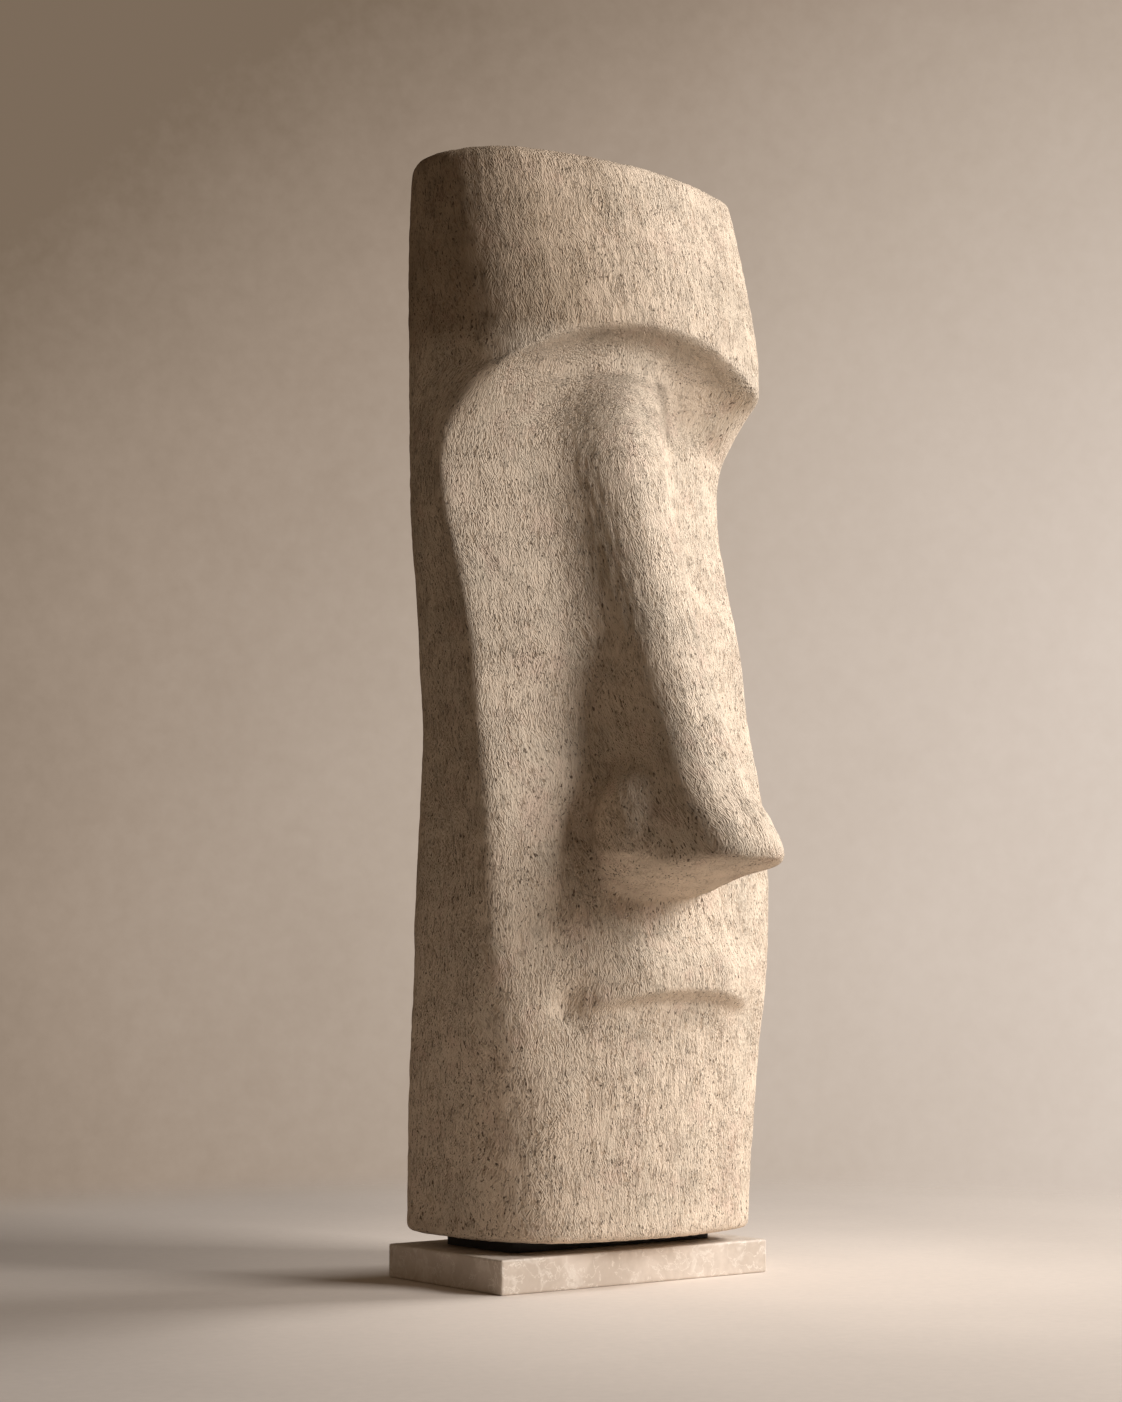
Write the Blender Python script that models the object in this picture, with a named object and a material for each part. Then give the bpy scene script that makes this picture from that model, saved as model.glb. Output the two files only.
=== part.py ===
"""Moai totem: a carved stone head that stands on a dark spacer plate and a marble plinth.

Run with: blender --background --python part.py
Metres, +Z up. The face looks along -Y and the underside of the plinth lies on Z = 0.
"""

import math

import bmesh
import bpy
import numpy as np

# Sizes of the three pieces
HEAD_HEIGHT = 0.658
PLINTH_WIDTH = 0.200
PLINTH_DEPTH = 0.117
PLINTH_THICKNESS = 0.020
PLINTH_EDGE_ROUND = 0.0012
SPACER_WIDTH = 0.150
SPACER_DEPTH = 0.070
SPACER_THICKNESS = 0.006
SPACER_CORNER_ROUND = 0.004
SEAT_GAP = 0.0003

# Where each piece stands
SPACER_BASE = PLINTH_THICKNESS + SEAT_GAP
HEAD_BASE = SPACER_BASE + SPACER_THICKNESS + SEAT_GAP

# The head is carved in shares of its own height: one unit is its 658th part.
# Levels count up from the head's underside, and depths forward from the plinth's middle.
UNITS_TALL = 658.0
UNIT = HEAD_HEIGHT / UNITS_TALL
BROW_LEVEL = 541.0
NOSE_TIP_LEVEL = 225.0
NOSE_UNDERSIDE_DROP = 21.0
NOSE_BACK_DEPTH = -4.0
WING_LEVEL = 237.0
WING_DEPTH = 94.0
WING_SWELL = 13.0
WING_LENGTH = 25.0
WING_HEIGHT = 34.0
WING_CREASE = 7.0
FLARE_LENGTH = 75.0
FLAT_FLANK = 0.5
MOUTH_LEVEL = 149.0
MOUTH_ARCH = 8.0
MOUTH_HALF_WIDTH = 70.0
MOUTH_SHIFT = 9.0
TOP_EDGE_ROUND = 11.0
BOTTOM_EDGE_ROUND = 7.0
FOREHEAD_BOW = 0.0023
WORN_CORNER = 32.0
WORN_CHIN = 28.0

# Mesh of the head
RING_COUNT = 76
FRONT_COLUMN_COUNT = 24
REAR_COLUMN_COUNT = 12
COLUMN_COUNT = 2 * (FRONT_COLUMN_COUNT + REAR_COLUMN_COUNT)
RAY_CENTRE_DEPTH = -8.0
BROW_SAG = 17.0
RAY_REACH = 300.0
BISECTIONS = 36


def through(level, *stations):
    """Return a smooth curve's value at each level, read through (level, value) stations."""
    levels, values = np.array(stations, float).T
    runs = np.diff(levels)
    slopes = np.diff(values) / runs
    tangents = np.zeros(len(levels))
    for i in range(1, len(levels) - 1):
        before, after = slopes[i - 1], slopes[i]
        if before * after > 0.0:
            weight_before = 2.0 * runs[i] + runs[i - 1]
            weight_after = runs[i] + 2.0 * runs[i - 1]
            tangents[i] = (weight_before + weight_after) / (weight_before / before + weight_after / after)
    tangents[0], tangents[-1] = slopes[0], slopes[-1]
    level = np.clip(level, levels[0], levels[-1])
    span = np.clip(np.searchsorted(levels, level) - 1, 0, len(runs) - 1)
    run = runs[span]
    t = (level - levels[span]) / run
    start = values[span] * (1.0 + 2.0 * t) * (1.0 - t) ** 2 + run * tangents[span] * t * (1.0 - t) ** 2
    end = values[span + 1] * t * t * (3.0 - 2.0 * t) + run * tangents[span + 1] * t * t * (t - 1.0)
    return start + end


def ease(value, low, high):
    """Return 0 below low, 1 above high and a smooth step between."""
    t = np.clip((value - low) / (high - low), 0.0, 1.0)
    return t * t * (3.0 - 2.0 * t)


def hump(value, middle, reach, power=2):
    """Return a bump of height 1 at the middle that fades over the reach."""
    return np.exp(-(((value - middle) / reach) ** power))


def cut_by(solid, cutter, edge):
    """Intersect two inside values, with the meeting edge rounded over a width of edge."""
    blend = np.maximum(edge - np.abs(solid - cutter), 0.0) / edge
    return np.maximum(solid, cutter) + blend * blend * edge / 4.0


def join_to(solid, other, fillet):
    """Unite two inside values, with a fillet in the inner corner."""
    return -cut_by(-solid, -other, fillet)


def half_width(level):
    """Half the head's width: broad at the eyes, drawn in at the cheeks and the chin."""
    return through(level, (0, 95), (84, 102.3), (150, 108.5), (196, 111), (260, 110), (324, 107.4),
                   (380, 107.3), (444, 110.3), (534, 111.2), (658, 109))


def back_depth(level):
    """How far the back stands behind the plinth's middle: hollow at mid height."""
    return through(level, (0, 57), (78, 47.4), (174, 31.8), (281, 29.4), (340, 36), (424, 43), (534, 45.5),
                   (614, 48), (658, 46))


def forehead_depth(side, level):
    """Front of the forehead, which leans forward down to the brow and bows across."""
    middle = through(level, (0, 150), (444, 150), (489, 82), (BROW_LEVEL - 27, 81.5),
                     (BROW_LEVEL - 1, 80.5), (574, 73.5), (614, 62.5), (658, 49))
    return middle - FOREHEAD_BOW * side * side


def cheek_edge_depth(level):
    """Depth of the face where it meets the side of the head, set back most at the eyes."""
    return through(level, (0, 55), (44, 53.6), (110, 54.8), (169, 57.9), (209, 57.9), (256, 53.4),
                   (315, 40), (351, 34.3), (376, 27.7), (413, 16), (444, 8), (463, 7), (480, 10.5), (496, 22.5),
                   (512, 39.5), (520, 55), (534, 87), (574, 170))


def cheek_bow(level):
    """How far the middle of the face stands in front of its edges."""
    return through(level, (0, 24), (114, 27), (154, 25), (196, 19.5), (237, 16), (274, 18), (319, 19),
                   (364, 25.5), (444, 29), (474, 30), (494, 26), (519, 20))


def face_depth(side, level):
    """Front of the face without the nose: brow arch, cheeks, lips and chin."""
    arch_lift = 22.0 * np.maximum(1.0 - (side / 95.0) ** 2, 0.0) * ease(level, 414, 494)
    under_arch = level - arch_lift
    across = 1.0 - (side / half_width(level)) ** 2
    depth = cheek_edge_depth(under_arch) + cheek_bow(under_arch) * across
    aside = side - MOUTH_SHIFT
    from_mouth = level - MOUTH_LEVEL + MOUTH_ARCH * (aside / 60.0) ** 2
    lip = through(from_mouth, (-60, 0), (-40, 0), (-24, 0.5), (-12, 2.5), (-2, 15), (8, 15.5), (35, 8),
                  (62, 7), (110, 0))
    depth = depth + lip * hump(side, 13.0, 62.0, 4)
    corner = hump(np.abs(aside), MOUTH_HALF_WIDTH, 10.0) * hump(level, MOUTH_LEVEL - 13, 13.0)
    outward = np.abs(aside) - 0.45 * (MOUTH_LEVEL - 13 - level)
    crease = hump(outward, MOUTH_HALF_WIDTH, 14.0) * hump(level, MOUTH_LEVEL - 36, 20.0)
    depth = depth - (8.5 * corner + 2.0 * crease) * (1.0 - 0.6 * ease(side, -20, 20))
    beside_wing = hump(np.abs(side), 50, 9.0) * hump(level, WING_LEVEL, 24.0)
    return depth - WING_CREASE * beside_wing


def ridge_depth(level):
    """Front of the nose, nearly flat at the root and sweeping out to the tip."""
    return through(level, (190, 182), (NOSE_TIP_LEVEL, 179), (241, 169), (262, 151), (292, 132), (324, 116),
                   (365, 99), (404, 86), (444, 73), (489, 61), (514, 58), (539, 50), (574, 20), (658, -40))


def nose(side, depth, level):
    """Inside value of the nose: a front that is flatter low on the near side, flanks, wings and underside."""
    away = np.abs(side)
    ridge = ridge_depth(level)
    shoulder = through(level, (NOSE_TIP_LEVEL, 31), (241, 31), (262, 30), (284, 27), (300, 26), (554, 26))
    flare = through(level, (NOSE_TIP_LEVEL, 0.1), (280, 0.1), (324, 0.08))
    corner = through(level, (NOSE_TIP_LEVEL, 32), (262, 28), (296, 20), (324, 18))
    bulge = through(level, (NOSE_TIP_LEVEL, 0.0145), (262, 0.0125), (296, 0.0095), (324, 0.0089))
    flatter = FLAT_FLANK * ease(-side, 0, 14) * (1.0 - ease(level, 262, 330))
    corner = corner * (1.0 - 0.8 * flatter)
    bulge = bulge * (1.0 - flatter)
    from_wing = np.hypot((depth - WING_DEPTH) / WING_LENGTH, (level - WING_LEVEL) / WING_HEIGHT)
    wing = hump(from_wing, 0.0, 1.0, 4)
    behind = np.minimum(ridge - depth, FLARE_LENGTH)
    flank = (away - shoulder - flare * behind - WING_SWELL * wing) * 0.98
    front = (depth - ridge + bulge * side * side) * 0.9
    body = cut_by(flank, front, corner)
    outline = through(depth, (60, 47), (80, 50), (92, 50), (105, 46), (125, 40), (150, 36), (176, 26))
    drop = NOSE_UNDERSIDE_DROP * np.clip((172.0 - depth) / 80.0, 0.0, 1.0)
    underside = NOSE_TIP_LEVEL - 4.5 - 2.0 * ease(depth, 125, 165)
    underside = underside - drop * np.maximum(1.0 - (away / outline) ** 3, 0.0)
    body = cut_by(body, (underside - level) * 0.95, 6.0)
    return np.maximum(body, NOSE_BACK_DEPTH - depth)


def head_inside(side, depth, level):
    """Inside value of the whole head, below zero in the stone; the near corners are more worn."""
    back_edge = through(level, (0, 16), (144, 21), (281, 28), (658, 32))
    walls = cut_by(np.abs(side) - half_width(level), -back_depth(level) - depth, back_edge)
    front_corner = through(level, (489, 22), (549, 15), (614, 10), (658, 7))
    worn = ease(-side, 20, 85)
    block = cut_by(walls, (depth - forehead_depth(side, level)) * 0.95, front_corner + WORN_CORNER * worn)
    face_edge = through(level, (0, 16), (174, 15), (256, 12), (315, 8), (394, 6), (658, 5))
    face_edge = face_edge + WORN_CHIN * worn * (1.0 - ease(level, 60, 180))
    carved = cut_by(block, (depth - face_depth(side, level)) * 0.9, face_edge)
    fillet = through(level, (209, 5), (241, 5), (262, 8), (284, 18), (319, 26), (444, 36), (494, 30),
                     (524, 16))
    carved = join_to(carved, nose(side, depth, level), fillet)
    carved = cut_by(carved, level - UNITS_TALL, TOP_EDGE_ROUND)
    return cut_by(carved, -level, BOTTOM_EDGE_ROUND)


def spread(low, high, count, crowding):
    """Return count stations from low to high, closer together where crowding is greater."""
    fine = np.linspace(low, high, 4000)
    weight = crowding(fine)
    share = np.concatenate([[0.0], np.cumsum((weight[1:] + weight[:-1]) / 2.0)])
    return np.interp(np.linspace(0.0, 1.0, count), share / share[-1], fine)


def ring_levels():
    """Levels of the rings, crowded at the mouth, the nose's underside, the brow and both edges."""
    def crowding(level):
        return (1.0 + 2.0 * hump(level, MOUTH_LEVEL - 3, 14.0) + 4.5 * hump(level, NOSE_TIP_LEVEL - 8, 14.0)
                + 1.6 * hump(level, BROW_LEVEL - 22, 26.0) + 4.0 * hump(level, UNITS_TALL, 6.0)
                + 3.0 * hump(level, 0.0, 5.0))
    return spread(0.05, UNITS_TALL - 0.05, RING_COUNT, crowding)


def edge_angle(level):
    """Direction of the edge between the face and the side, seen from the head's axis."""
    corner = forehead_depth(half_width(level) - 6.0, level) - 5.0
    depth = -cut_by(-cheek_edge_depth(level), -corner, 10.0)
    return np.arctan2(half_width(level), depth - RAY_CENTRE_DEPTH)


def half_ring_shares():
    """Places of a half ring's points: 0 at the nose, 1 at the face's edge and 2 at the back."""
    face = spread(0.0, 1.0, FRONT_COLUMN_COUNT + 1, lambda place: 1.0 + 1.6 * hump(place, 0.24, 0.22))
    back = spread(1.0, 2.0, REAR_COLUMN_COUNT + 1,
                  lambda place: 1.0 + 1.2 * hump(place, 1.0, 0.1) + hump(place, 1.5, 0.2))
    return np.concatenate([face, back[1:]])


def ring_grid():
    """Directions and levels of all points, with columns along the face's edges and rows along the brow."""
    half = half_ring_shares()
    shares = np.concatenate([half, -half[-2:0:-1]])
    level, share = np.meshgrid(ring_levels(), shares, indexing="ij")
    away = np.abs(share)
    sag = BROW_SAG * np.clip(away, 0.0, 1.0) ** 2 * (1.0 - ease(away, 1.0, 1.6))
    level = level - sag * hump(level, BROW_LEVEL, 42.0)
    edge = edge_angle(level)
    angle = np.where(away < 1.0, edge * away, edge + (math.pi - edge) * (away - 1.0))
    return np.copysign(angle, share), level


def head_points():
    """Find where rays from the head's axis leave the stone, ring by ring, in units."""
    angle, level = ring_grid()
    near = np.zeros_like(level)
    far = np.full_like(level, RAY_REACH)
    for _ in range(BISECTIONS):
        middle = (near + far) / 2.0
        stone = head_inside(np.sin(angle) * middle, RAY_CENTRE_DEPTH + np.cos(angle) * middle, level) < 0.0
        near = np.where(stone, middle, near)
        far = np.where(stone, far, middle)
    return np.stack([np.sin(angle) * near, -RAY_CENTRE_DEPTH - np.cos(angle) * near, level], axis=-1)


def make_material(name, colour, roughness, metallic=0.0):
    """Return a Principled material with one plain colour."""
    material = bpy.data.materials.new(name)
    material.use_nodes = True
    shader = material.node_tree.nodes["Principled BSDF"]
    shader.inputs["Base Color"].default_value = (*colour, 1.0)
    shader.inputs["Roughness"].default_value = roughness
    shader.inputs["Metallic"].default_value = metallic
    return material


def add_object(name, form, material, height=0.0):
    """Turn a bmesh into a named object that stands at a height."""
    bmesh.ops.recalc_face_normals(form, faces=form.faces)
    mesh = bpy.data.meshes.new(name)
    form.to_mesh(mesh)
    form.free()
    mesh.materials.append(material)
    piece = bpy.data.objects.new(name, mesh)
    piece.location.z = height
    bpy.context.scene.collection.objects.link(piece)
    return piece


def make_head():
    """Loft the carved head through its rings and close it above and below."""
    form = bmesh.new()
    rings = [[form.verts.new(point * UNIT) for point in ring] for ring in head_points()]
    for lower, upper in zip(rings, rings[1:]):
        for i in range(COLUMN_COUNT):
            j = (i + 1) % COLUMN_COUNT
            form.faces.new((lower[i], lower[j], upper[j], upper[i]))
    form.faces.new(reversed(rings[0]))
    form.faces.new(rings[-1])
    stone = make_material("beige_stone", (0.56, 0.47, 0.36), 0.9)
    piece = add_object("moai_head", form, stone, HEAD_BASE)
    piece.data.shade_smooth()
    piece.data.set_sharp_from_angle(angle=math.radians(35.0))


def make_plate(name, width, depth, thickness, edges, rounding, segments, material, height):
    """Make a flat plate whose chosen edges are rounded."""
    form = bmesh.new()
    bmesh.ops.create_cube(form, size=1.0)
    bmesh.ops.scale(form, vec=(width, depth, thickness), verts=form.verts)
    bmesh.ops.translate(form, vec=(0.0, 0.0, thickness / 2.0), verts=form.verts)
    chosen = [edge for edge in form.edges if edges(edge)]
    bmesh.ops.bevel(form, geom=chosen, offset=rounding, segments=segments, profile=0.5, affect="EDGES")
    return add_object(name, form, material, height)


def is_upright(edge):
    """Tell whether an edge runs up and down."""
    return abs(edge.verts[0].co.z - edge.verts[1].co.z) > 1e-6


def make_plinth():
    """Make the marble slab with finely eased edges."""
    marble = make_material("taupe_marble", (0.47, 0.41, 0.35), 0.45)
    make_plate("marble_plinth", PLINTH_WIDTH, PLINTH_DEPTH, PLINTH_THICKNESS, lambda edge: True,
               PLINTH_EDGE_ROUND, 2, marble, 0.0)


def make_spacer():
    """Make the dark plate that lifts the head off the plinth."""
    black = make_material("black_paint", (0.02, 0.019, 0.018), 0.6)
    make_plate("spacer_plate", SPACER_WIDTH, SPACER_DEPTH, SPACER_THICKNESS, is_upright,
               SPACER_CORNER_ROUND, 4, black, SPACER_BASE)


def clear_scene():
    """Remove whatever objects the opened file holds."""
    for item in list(bpy.data.objects):
        bpy.data.objects.remove(item)


def main():
    """Build the totem from the plinth up."""
    clear_scene()
    make_plinth()
    make_spacer()
    make_head()


main()
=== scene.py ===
"""Looks of the moai totem: a carved stone head, a black spacer plate and a marble plinth.

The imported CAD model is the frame. The head is carved again here from the same form with finer
relief, and the two plates are dressed in paint and marble.
"""

import logging
import math
from collections.abc import Callable
from dataclasses import dataclass
from enum import Enum

import bpy
import numpy as np
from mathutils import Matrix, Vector


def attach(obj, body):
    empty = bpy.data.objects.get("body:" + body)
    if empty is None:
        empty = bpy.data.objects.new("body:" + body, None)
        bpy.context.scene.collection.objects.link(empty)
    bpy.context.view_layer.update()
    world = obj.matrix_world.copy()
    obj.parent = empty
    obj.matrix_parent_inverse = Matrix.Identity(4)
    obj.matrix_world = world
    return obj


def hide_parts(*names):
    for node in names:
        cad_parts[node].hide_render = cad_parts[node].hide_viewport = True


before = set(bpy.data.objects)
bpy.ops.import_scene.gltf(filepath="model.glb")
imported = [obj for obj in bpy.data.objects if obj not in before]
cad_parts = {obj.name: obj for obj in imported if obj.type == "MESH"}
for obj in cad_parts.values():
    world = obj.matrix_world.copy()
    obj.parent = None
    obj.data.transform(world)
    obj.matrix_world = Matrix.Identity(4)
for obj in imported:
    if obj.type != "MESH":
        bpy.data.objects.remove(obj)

LOG = logging.getLogger("moai_totem")
Array = np.ndarray
Colour = tuple[float, float, float]


class Mixing(Enum):
    """How two colours are mixed."""

    PLAIN = "MIX"
    DARKEN = "MULTIPLY"


def through(level: Array, *stations: tuple[float, float]) -> Array:
    """Read a smooth curve that passes through stations.

    Args:
        level: Where to read the curve.
        stations: Pairs of level and value, with rising levels.

    Returns:
        The curve's value at each level.
    """
    levels, values = np.array(stations, float).T
    runs = np.diff(levels)
    slopes = np.diff(values) / runs
    tangents = np.zeros(len(levels))
    for i in range(1, len(levels) - 1):
        before, after = slopes[i - 1], slopes[i]
        if before * after > 0.0:
            near, far = 2.0 * runs[i] + runs[i - 1], runs[i] + 2.0 * runs[i - 1]
            tangents[i] = (near + far) / (near / before + far / after)
    tangents[0], tangents[-1] = slopes[0], slopes[-1]
    level = np.clip(level, levels[0], levels[-1])
    span = np.clip(np.searchsorted(levels, level) - 1, 0, len(runs) - 1)
    run = runs[span]
    t = (level - levels[span]) / run
    start = values[span] * (1.0 + 2.0 * t) * (1.0 - t) ** 2
    start = start + run * tangents[span] * t * (1.0 - t) ** 2
    end = values[span + 1] * t * t * (3.0 - 2.0 * t)
    return start + (end + run * tangents[span + 1] * t * t * (t - 1.0))


def ease(value: Array, low: float, high: float) -> Array:
    """Return 0 below low, 1 above high and a smooth step between."""
    t = np.clip((value - low) / (high - low), 0.0, 1.0)
    return t * t * (3.0 - 2.0 * t)


def hump(value: Array, middle: float, reach: float, power: int = 2) -> Array:
    """Return a bump of height 1 at the middle that fades over the reach."""
    return np.exp(-(((value - middle) / reach) ** power))


def cut_by(solid: Array, cutter: Array, edge: Array | float) -> Array:
    """Intersect two inside values.

    Args:
        solid: Inside value of the solid, below zero inside.
        cutter: Inside value of what it is cut by.
        edge: Width over which the meeting edge is rounded.

    Returns:
        The inside value of what is left.
    """
    blend = np.maximum(edge - np.abs(solid - cutter), 0.0) / edge
    return np.maximum(solid, cutter) + blend * blend * edge / 4.0


def join_to(solid: Array, other: Array, fillet: Array | float) -> Array:
    """Unite two inside values, with a fillet in the inner corner."""
    return -cut_by(-solid, -other, fillet)


def spread(low: float, high: float, count: int, crowding: Callable[[Array], Array]) -> Array:
    """Place stations along a range.

    Args:
        low: First station.
        high: Last station.
        count: How many stations.
        crowding: How close they stand at each place.

    Returns:
        The stations in rising order.
    """
    fine = np.linspace(low, high, 6000)
    weight = crowding(fine)
    share = np.concatenate([[0.0], np.cumsum((weight[1:] + weight[:-1]) / 2.0)])
    return np.interp(np.linspace(0.0, 1.0, count), share / share[-1], fine)


class Value:
    """A node's output that takes part in sums like a number."""

    def __init__(self, net: "Net", socket: bpy.types.NodeSocket) -> None:
        """Keep the socket and the net it belongs to."""
        self.net = net
        self.socket = socket

    def _sum(self, operation: str, first: "Value | float", second: "Value | float") -> "Value":
        """Return the result of one Math node."""
        return self.net.node("ShaderNodeMath", {"operation": operation}, {0: first, 1: second})

    def __add__(self, other: "Value | float") -> "Value":
        """Add."""
        return self._sum("ADD", self, other)

    def __radd__(self, other: float) -> "Value":
        """Add to a number."""
        return self._sum("ADD", other, self)

    def __sub__(self, other: "Value | float") -> "Value":
        """Subtract."""
        return self._sum("SUBTRACT", self, other)

    def __rsub__(self, other: float) -> "Value":
        """Subtract from a number."""
        return self._sum("SUBTRACT", other, self)

    def __mul__(self, other: "Value | float") -> "Value":
        """Multiply."""
        return self._sum("MULTIPLY", self, other)

    def __rmul__(self, other: float) -> "Value":
        """Multiply a number."""
        return self._sum("MULTIPLY", other, self)

    def __truediv__(self, other: "Value | float") -> "Value":
        """Divide."""
        return self._sum("DIVIDE", self, other)

    def __abs__(self) -> "Value":
        """Drop the sign."""
        return self._sum("ABSOLUTE", self, 0.0)

    def highest(self, other: "Value | float") -> "Value":
        """Take the greater of two values."""
        return self._sum("MAXIMUM", self, other)

    def step(self, low: float, high: float) -> "Value":
        """Return a smooth step.

        Args:
            low: Value at which the result is 0.
            high: Value at which the result is 1; it may be below low.

        Returns:
            A value from 0 to 1.
        """
        ends = {"Value": self, "From Min": min(low, high), "From Max": max(low, high)}
        ends |= {"To Min": float(low > high), "To Max": float(low < high)}
        return self.net.node("ShaderNodeMapRange", {"interpolation_type": "SMOOTHSTEP"}, ends)


class Net:
    """A node tree that is written as expressions."""

    def __init__(self, tree: bpy.types.NodeTree) -> None:
        """Empty the tree and keep it."""
        tree.nodes.clear()
        self.tree = tree

    @staticmethod
    def _find(sockets: bpy.types.bpy_prop_collection, key: str | int) -> bpy.types.NodeSocket:
        """Find one socket of a node.

        Args:
            sockets: The node's inputs or outputs.
            key: The socket's place, identifier or name.

        Returns:
            The socket.
        """
        if isinstance(key, int):
            return sockets[key]
        exact = [socket for socket in sockets if socket.identifier == key]
        named = [socket for socket in sockets if socket.name == key and socket.enabled]
        return (exact + named)[0]

    def node(self, kind: str, settings: dict | None = None, sockets: dict | None = None,
             output: str | int = 0) -> Value:
        """Add one node.

        Args:
            kind: The node's type.
            settings: What is set on the node first; "stops" are a ramp's places and colours.
            sockets: Value or link of each input, by name, identifier or place.
            output: Which output to return.

        Returns:
            The chosen output.
        """
        made = self.tree.nodes.new(kind)
        for key, value in (settings or {}).items():
            if key == "stops":
                self._set_stops(made.color_ramp, value)
            else:
                setattr(made, key, value)
        for key, value in (sockets or {}).items():
            socket = self._find(made.inputs, key)
            if isinstance(value, Value):
                self.tree.links.new(value.socket, socket)
            else:
                socket.default_value = value
        return Value(self, self._find(made.outputs, output)) if made.outputs else Value(self, None)

    @staticmethod
    def _set_stops(ramp: bpy.types.ColorRamp, stops: tuple[tuple[float, Colour], ...]) -> None:
        """Give a ramp its stops.

        Args:
            ramp: The ramp.
            stops: Place and colour of each stop.
        """
        while len(ramp.elements) < len(stops):
            ramp.elements.new(0.5)
        for element, (place, colour) in zip(ramp.elements, stops):
            element.position = place
            element.color = (*colour, 1.0)

    def scaled(self, vector: Value, factors: tuple[float, float, float]) -> Value:
        """Multiply a vector by three numbers."""
        return self.node("ShaderNodeVectorMath", {"operation": "MULTIPLY"}, {0: vector, 1: factors})

    def moved(self, vector: Value, other: "Value | tuple[float, float, float]") -> Value:
        """Add two vectors."""
        return self.node("ShaderNodeVectorMath", {"operation": "ADD"}, {0: vector, 1: other})

    def times(self, vector: "Value | Colour", factor: Value) -> Value:
        """Multiply a vector by one value."""
        settings = {"operation": "SCALE"}
        return self.node("ShaderNodeVectorMath", settings, {0: vector, "Scale": factor})

    def noise(self, place: Value, scale: float, detail: float = 2.0, roughness: float = 0.5,
              output: int = 0) -> Value:
        """Return soft noise at a place.

        Args:
            place: Where the noise is read.
            scale: Spots in one unit of length.
            detail: Layers of finer noise.
            roughness: How strong the finer layers are.
            output: 0 for a value and 1 for a colour.

        Returns:
            The noise.
        """
        sockets = {"Vector": place, "Scale": scale, "Detail": detail, "Roughness": roughness}
        return self.node("ShaderNodeTexNoise", {}, sockets, output)

    def cells(self, place: Value) -> Value:
        """Return how far a place is from the middle of its cell."""
        sockets = {"Vector": place, "Scale": 1.0}
        return self.node("ShaderNodeTexVoronoi", {"feature": "F1"}, sockets, "Distance")

    def blend(self, share: "Value | float", first: "Value | Colour", second: "Value | Colour",
              way: Mixing = Mixing.PLAIN) -> Value:
        """Mix two colours.

        Args:
            share: How much of the second.
            first: The first colour.
            second: The second colour.
            way: How they are mixed.

        Returns:
            The mixed colour.
        """
        sides = [side if isinstance(side, Value) else (*side, 1.0) for side in (first, second)]
        settings = {"data_type": "RGBA", "blend_type": way.value}
        sockets = {"Factor_Float": share, "A_Color": sides[0], "B_Color": sides[1]}
        return self.node("ShaderNodeMix", settings, sockets, "Result_Color")


def new_material(name: str) -> tuple[bpy.types.Material, Net]:
    """Make an empty material.

    Args:
        name: The material's name.

    Returns:
        The material and the net of its tree.
    """
    material = bpy.data.materials.new(name)
    material.use_nodes = True
    return material, Net(material.node_tree)


def finish_material(net: Net, colour: Value, roughness: "Value | float", normal: Value | None,
                    specular: float) -> None:
    """End a material in one Principled shader.

    Args:
        net: The material's net.
        colour: Base colour.
        roughness: Roughness.
        normal: Bumped normal, or None.
        specular: Specular level, the same all over.
    """
    sockets = {"Base Color": colour, "Roughness": roughness, "Specular IOR Level": specular}
    if normal is not None:
        sockets["Normal"] = normal
    shader = net.node("ShaderNodeBsdfPrincipled", {}, sockets)
    net.node("ShaderNodeOutputMaterial", {}, {"Surface": shader})


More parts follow.
